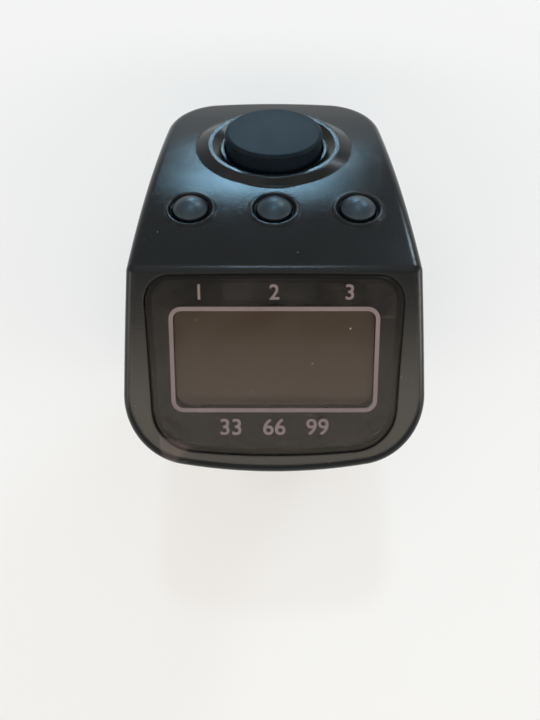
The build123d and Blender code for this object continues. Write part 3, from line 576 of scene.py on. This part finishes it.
finishes = {
    case_satin(): ("top_shell", "back_shell", "battery_door"),
    # Count cap: its blue tint is painted light, standing in for the bluish light of a window; the cap itself
    # is plain black.
    moulded(
        "cap_black_painted_blue_light", (0.0045, 0.0085, 0.0125), (0.006, 0.0105, 0.0155), 0.34, 7.0, 0.005,
        dust=0.2, rub=0.05, Specular_IOR_Level=0.04,
    ): ("count_button",),
    # Small keys: the blue tint of their colour and their blue specular tint are painted light, a painted
    # blue sheen; the keys themselves are plain black.
    moulded(
        "key_black_painted_blue_sheen", (0.0055, 0.008, 0.0105), (0.0075, 0.0105, 0.0135), 0.38, 6.0, 0.008,
        dust=0.2, rub=0.05, Specular_IOR_Level=0.55, Specular_Tint=(0.6, 0.84, 1.0, 1.0),
    ): ("reset_button", "lock_button", "light_button"),
    smoked_window(): ("lens_panel",),
    hazy_film(): ("lens_film",),
    display_face(): ("lcd_polariser",),
    moulded("tape_black", (0.012, 0.012, 0.012), (0.02, 0.02, 0.02), 0.6, 3.0, 0.004): ("lens_adhesive",),
    moulded(
        "display_glass", (0.16, 0.17, 0.155), (0.2, 0.21, 0.19), 0.12, 1.0, 0.0005, rub=0.3
    ): ("lcd_front_glass", "lcd_rear_glass"),
    moulded("guide_white", (0.7, 0.71, 0.7), (0.78, 0.79, 0.78), 0.3, 4.0, 0.003): ("light_guide",),
    moulded("lamp_white", (0.74, 0.72, 0.6), (0.8, 0.79, 0.7), 0.25, 5.0, 0.002): ("backlight_led",),
    moulded("zebra_rubber", (0.05, 0.05, 0.055), (0.3, 0.3, 0.3), 0.7, 5.0, 0.006): ("zebra_strip",),
    moulded(
        "board_green", (0.010, 0.085, 0.035), (0.016, 0.12, 0.05), 0.35, 3.5, 0.006, rub=0.3, Coat_Weight=0.3
    ): ("key_board", "display_board"),
    moulded(
        "epoxy_black", (0.008, 0.008, 0.009), (0.014, 0.014, 0.015), 0.3, 1.2, 0.02
    ): ("controller_blob",),
    metal("steel_plated", (0.5, 0.5, 0.49), (0.62, 0.61, 0.59), 0.26, 9.0): (
        "board_screws", "case_screws", "strap_pins", "negative_contact", "positive_contact",
        "switch_domes", "clock_crystal",
    ),
    moulded("chip_brown", (0.12, 0.075, 0.04), (0.2, 0.13, 0.075), 0.45, 6.0, 0.004): ("chip_parts",),
    moulded("switch_black", (0.014, 0.014, 0.015), (0.022, 0.022, 0.023), 0.5, 6.0, 0.004): (
        "count_switch", "small_switches", "contact_carrier",
    ),
    moulded("plunger_white", (0.66, 0.66, 0.63), (0.76, 0.76, 0.73), 0.4, 6.0, 0.003): (
        "count_plunger", "reset_plunger", "lock_plunger", "light_plunger",
    ),
    moulded("cable_orange", (0.42, 0.17, 0.03), (0.55, 0.24, 0.05), 0.35, 3.0, 0.003): ("board_link",),
    metal("cell_can_steel", (0.56, 0.56, 0.55), (0.68, 0.68, 0.66), 0.22, 4.0): ("coin_cell",),
    moulded("lead_red", (0.3, 0.012, 0.01), (0.42, 0.02, 0.016), 0.4, 4.0, 0.002): ("battery_leads",),
}
for material, names in finishes.items():
    for name in names:
        slots = nodes[name].data.materials
        slots.clear()
        slots.append(material)

strap_rubber = moulded(
    "strap_silicone", (0.010, 0.0105, 0.011), (0.017, 0.0175, 0.018), 0.52, 4.5, 0.006,
    dust=0.5, rub=0.06, Sheen_Weight=0.12, Sheen_Roughness=0.4,
)
print_pale = moulded(
    "print_pale_mauve", (0.10, 0.074, 0.080), (0.17, 0.135, 0.135), 0.5, 8.0, 0.001, rub=0.0
)


def dress(piece, material, body="case"):
    """A new piece with its material, riding on its body."""
    piece.data.materials.clear()
    piece.data.materials.append(material)
    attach(piece, body)


peg_half = strap_half("strap_peg_band", -1, peg_tongue_z, peg_places, ())
dress(peg_half, strap_rubber)
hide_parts("strap_peg_side")
hole_half = strap_half("strap_hole_band", 1, hole_tongue_z, (), hole_places)
dress(hole_half, strap_rubber)
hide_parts("strap_hole_side")
dress(make_object("print_frame", *printed_frame()), print_pale)
for words, u in key_numbers:
    dress(printed_number(f"print_key_{words}", words, u, key_number_v, key_number_size), print_pale)
for words, u in count_numbers:
    dress(printed_number(f"print_count_{words}", words, u, count_number_v, count_number_size), print_pale)


# Floor, light and camera
def seen_directly(tree):
    """1 for rays from the camera, reflections and glass, and 0 for the rays that light things."""
    path = add_node(tree, "ShaderNodeLightPath")
    seen = sum_of(tree, "ADD", path.outputs["Is Camera Ray"], path.outputs["Is Glossy Ray"])
    return sum_of(tree, "ADD", seen, path.outputs["Is Transmission Ray"], True)


def pale_floor():
    """Wide pale floor with a faint mottle: part of its paleness is lit, and keeps the shadow, and part
    is only seen."""
    reach = 2.5
    mesh = bpy.data.meshes.new("floor")
    corners = [(-reach, -reach, 0), (reach, -reach, 0), (reach, reach, 0), (-reach, reach, 0)]
    mesh.from_pydata(corners, [], [(0, 1, 2, 3)])
    floor = bpy.data.objects.new("floor", mesh)
    bpy.context.scene.collection.objects.link(floor)
    material, tree, shader = new_finish(
        "floor_pale", Roughness=0.9, Specular_IOR_Level=0.1, Emission_Strength=1.0
    )
    place = add_node(tree, "ShaderNodeTexCoord")
    cloud = noise(tree, place.outputs["Object"], 3.0, 3.0)
    colour = mixed(tree, cloud, (0.42, 0.42, 0.42, 1.0), (0.44, 0.44, 0.44, 1.0))
    tree.links.new(colour, shader.inputs["Base Color"])
    glow = mixed(tree, seen_directly(tree), (0.0, 0.0, 0.0, 1.0), (0.43, 0.43, 0.43, 1.0))
    tree.links.new(glow, shader.inputs["Emission Color"])
    mesh.materials.append(material)


def soft_light(name, place, target, width, height, power, colour):
    """Rectangular soft lamp at a place in metres, facing a target."""
    lamp = bpy.data.lights.new(name, "AREA")
    lamp.shape = "RECTANGLE"
    lamp.size = width
    lamp.size_y = height
    lamp.energy = power
    lamp.color = colour
    made = bpy.data.objects.new(name, lamp)
    bpy.context.scene.collection.objects.link(made)
    aim = Vector(place) - Vector(target)
    made.matrix_world = Matrix.Translation(place) @ aim.to_track_quat("Z", "Y").to_matrix().to_4x4()


def surroundings():
    """Even pale world, seen paler than it lights."""
    world = bpy.data.worlds.new("studio")
    bpy.context.scene.world = world
    world.use_nodes = True
    tree = world.node_tree
    back = tree.nodes["Background"]
    back.inputs["Color"].default_value = (1.0, 1.0, 1.0, 1.0)
    tree.links.new(ranged(tree, seen_directly(tree), 0.0, 1.0, 0.23, 0.7), back.inputs["Strength"])


def photo_camera():
    """Camera at the photograph's angle: a pinhole whose focal length is given in image pixels."""
    data = bpy.data.cameras.new("camera")
    data.sensor_width = 36.0
    data.lens = camera_pixels / image_rows * data.sensor_width
    data.clip_start = 0.004
    data.clip_end = 20.0
    camera = bpy.data.objects.new("camera", data)
    bpy.context.scene.collection.objects.link(camera)
    camera.location = camera_place
    camera.rotation_euler = (math.radians(camera_tilt), 0.0, 0.0)
    bpy.context.scene.camera = camera


pale_floor()
surroundings()
soft_light("top_box", (-0.1, 0.25, 0.9), middle, 1.1, 1.1, 2.0, (1.0, 0.99, 0.98))
soft_light("rear_panel", (0.0, -0.55, 0.625), middle, 1.7, 0.2, 5.9, (1.0, 0.87, 0.71))
soft_light("left_panel", (-0.78, -0.22, 0.25), middle, 0.35, 0.45, 1.7, (1.0, 0.92, 0.82))
soft_light("right_panel", (0.78, -0.22, 0.25), middle, 0.35, 0.45, 1.7, (1.0, 0.92, 0.82))
soft_light("sky_panel", (0.4, 0.75, 0.4), middle, 0.35, 0.3, 1.2, (0.7, 0.87, 1.0))
soft_light("edge_glint", (0.43, 0.76, 0.35), middle, 0.16, 0.12, 1.3, (0.75, 0.9, 1.0))
soft_light("window_strip", (-0.014, 0.6, 0.13), middle, 0.12, 0.02, 0.72, (0.38, 0.74, 1.0))
soft_light("horizon_strip", (0.0, 0.6, 0.042), middle, 0.12, 0.022, 0.6, (0.42, 0.76, 1.0))
soft_light("ridge_glint", (0.0, 0.32, 0.52), middle, 0.04, 0.04, 0.5, (0.5, 0.8, 1.0))
soft_light("side_strip", (0.6, -0.02, 0.09), middle, 0.3, 0.1, 0.8, (1.0, 0.95, 0.92))
photo_camera()

bpy.context.scene.view_settings.view_transform = "Standard"
